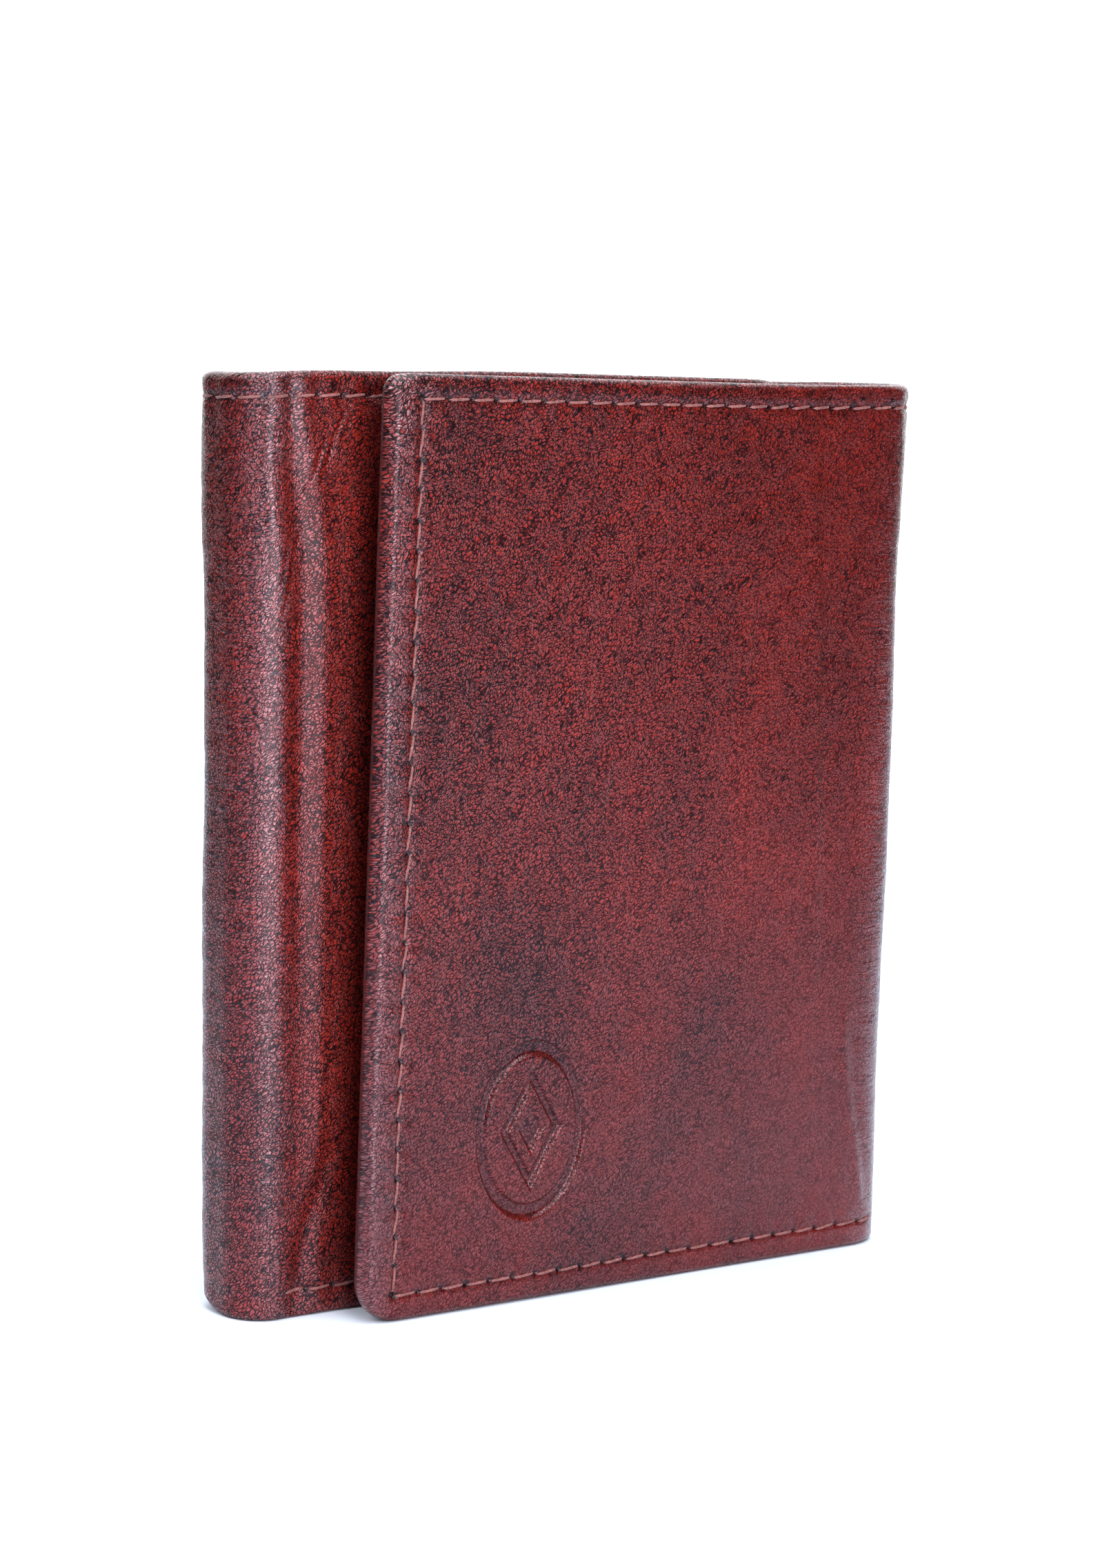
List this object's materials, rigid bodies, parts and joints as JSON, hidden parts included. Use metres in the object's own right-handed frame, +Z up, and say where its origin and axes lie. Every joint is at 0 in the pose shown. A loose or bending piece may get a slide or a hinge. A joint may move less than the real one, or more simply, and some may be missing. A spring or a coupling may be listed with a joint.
{
  "type": "trifold wallet",
  "caption": "Leather trifold wallet with a wide and a narrow spine, stitched turned edges, card pockets, an identity card window and a banknote compartment.",
  "frame": {"origin": "middle of the closed wallet's footprint, on the surface that it stands on", "axes": "+X towards the wide spine, -Y the way the front flap faces, +Z up along the folds"},
  "size_m": [0.0944, 0.0196, 0.1104],
  "materials": {
    "outer_leather": "glazed, mottled burgundy",
    "inner_leather": "semi-matt burgundy",
    "pocket_leather": "semi-matt burgundy",
    "cover_lining": "fine twill",
    "panel_lining": "fine twill",
    "board": "plain",
    "clear_sheet": "clear, glossy",
    "thread": "waxed twisted thread"
  },
  "bodies": {
    "back_panel": {"back_cover": "outer_leather", "back_lining": "cover_lining", "back_inner_leather": "inner_leather", "back_edge_stitching": "thread", "back_board": "board", "back_panel_lining": "panel_lining", "back_card_pocket_1": "pocket_leather", "back_card_pocket_2": "pocket_leather", "back_card_pocket_3": "pocket_leather", "back_pocket_stitching": "thread"},
    "right_spine": {"right_spine_cover": "outer_leather", "right_spine_lining": "cover_lining", "right_spine_inner_leather": "inner_leather", "right_spine_edge_stitching": "thread"},
    "front_flap": {"front_flap_cover": "outer_leather", "front_flap_lining": "cover_lining", "front_flap_inner_leather": "inner_leather", "front_flap_edge_stitching": "thread", "front_flap_board": "board", "front_flap_panel_lining": "panel_lining", "front_flap_id_window": "clear_sheet", "front_flap_id_frame": "pocket_leather", "front_flap_frame_stitching": "thread"},
    "left_spine": {"left_spine_cover": "outer_leather", "left_spine_lining": "cover_lining", "left_spine_inner_leather": "inner_leather", "left_spine_edge_stitching": "thread"},
    "inner_flap": {"inner_flap_cover": "outer_leather", "inner_flap_lining": "cover_lining", "inner_flap_inner_leather": "inner_leather", "inner_flap_edge_stitching": "thread", "inner_flap_board": "board", "inner_flap_panel_lining": "panel_lining", "inner_flap_card_pocket_1": "pocket_leather", "inner_flap_card_pocket_2": "pocket_leather", "inner_flap_card_pocket_3": "pocket_leather", "inner_flap_pocket_stitching": "thread"}
  },
  "joints": [
    {"name": "right_spine_fold", "type": "hinge", "parent": "back_panel", "child": "right_spine", "pos_m": [0.04515, 0.0077, 0.055], "axis": [0, 0, 1], "range_deg": [0, 90]},
    {"name": "front_flap_fold", "type": "hinge", "parent": "right_spine", "child": "front_flap", "pos_m": [0.04515, -0.0077, 0.055], "axis": [0, 0, 1], "range_deg": [0, 90]},
    {"name": "left_spine_fold", "type": "hinge", "parent": "back_panel", "child": "left_spine", "pos_m": [-0.04574, 0.00829, 0.055], "axis": [0, 0, -1], "range_deg": [0, 28]},
    {"name": "inner_flap_fold", "type": "hinge", "parent": "left_spine", "child": "inner_flap", "pos_m": [-0.04574, -0.00099, 0.055], "axis": [0, 0, -1], "range_deg": [0, 28]}
  ],
  "couplings": [
    {"joint": "front_flap_fold", "follows": "right_spine_fold", "ratio": 1},
    {"joint": "left_spine_fold", "follows": "right_spine_fold", "ratio": 0.3111},
    {"joint": "inner_flap_fold", "follows": "right_spine_fold", "ratio": 0.3111}
  ]
}
